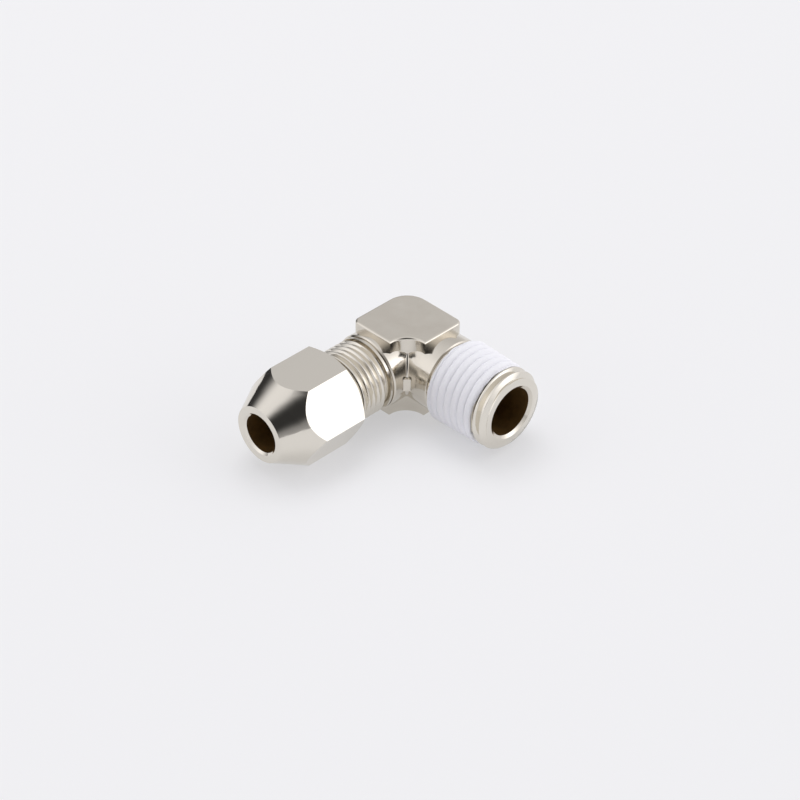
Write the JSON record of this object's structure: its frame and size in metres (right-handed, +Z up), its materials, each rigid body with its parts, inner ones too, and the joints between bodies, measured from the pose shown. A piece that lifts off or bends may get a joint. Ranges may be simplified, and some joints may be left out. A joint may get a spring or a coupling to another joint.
{
  "type": "elbow pipe union",
  "caption": "Right-angle plated brass pipe fitting: a compression nut for a small tube on one arm, a taper pipe thread with a white sealant coat on the other.",
  "frame": {"origin": "the point where the axes of the tube port and of the pipe port cross", "axes": "-X out of the tube port along the nut, -Y out of the pipe port along the taper thread, +Z up, square to the upper wrench flat"},
  "size_m": [0.0378, 0.0304, 0.014],
  "materials": {
    "nickel_plate": "bright nickel plate on forged and turned brass",
    "bare_brass": "bare turned brass",
    "sealant": "white thread sealant, dried with a soft gloss"
  },
  "bodies": {
    "elbow": {"elbow_body": "nickel_plate", "thread_sealant": "sealant"},
    "sleeve": {"sleeve": "bare_brass"},
    "nut": {"nut": "nickel_plate"}
  },
  "joints": [
    {"name": "sleeve_slide", "type": "slide", "parent": "elbow", "child": "sleeve", "axis": [-1, 0, 0], "range_m": [0, 0.0042]},
    {"name": "nut_turn", "type": "hinge", "parent": "sleeve", "child": "nut", "pos_m": [-0.0234, 0, 0], "axis": [-1, 0, 0], "range_deg": [0, 1440]}
  ],
  "couplings": [
    {"joint": "sleeve_slide", "follows": "nut_turn", "m_per_rad": 0.00015915}
  ]
}
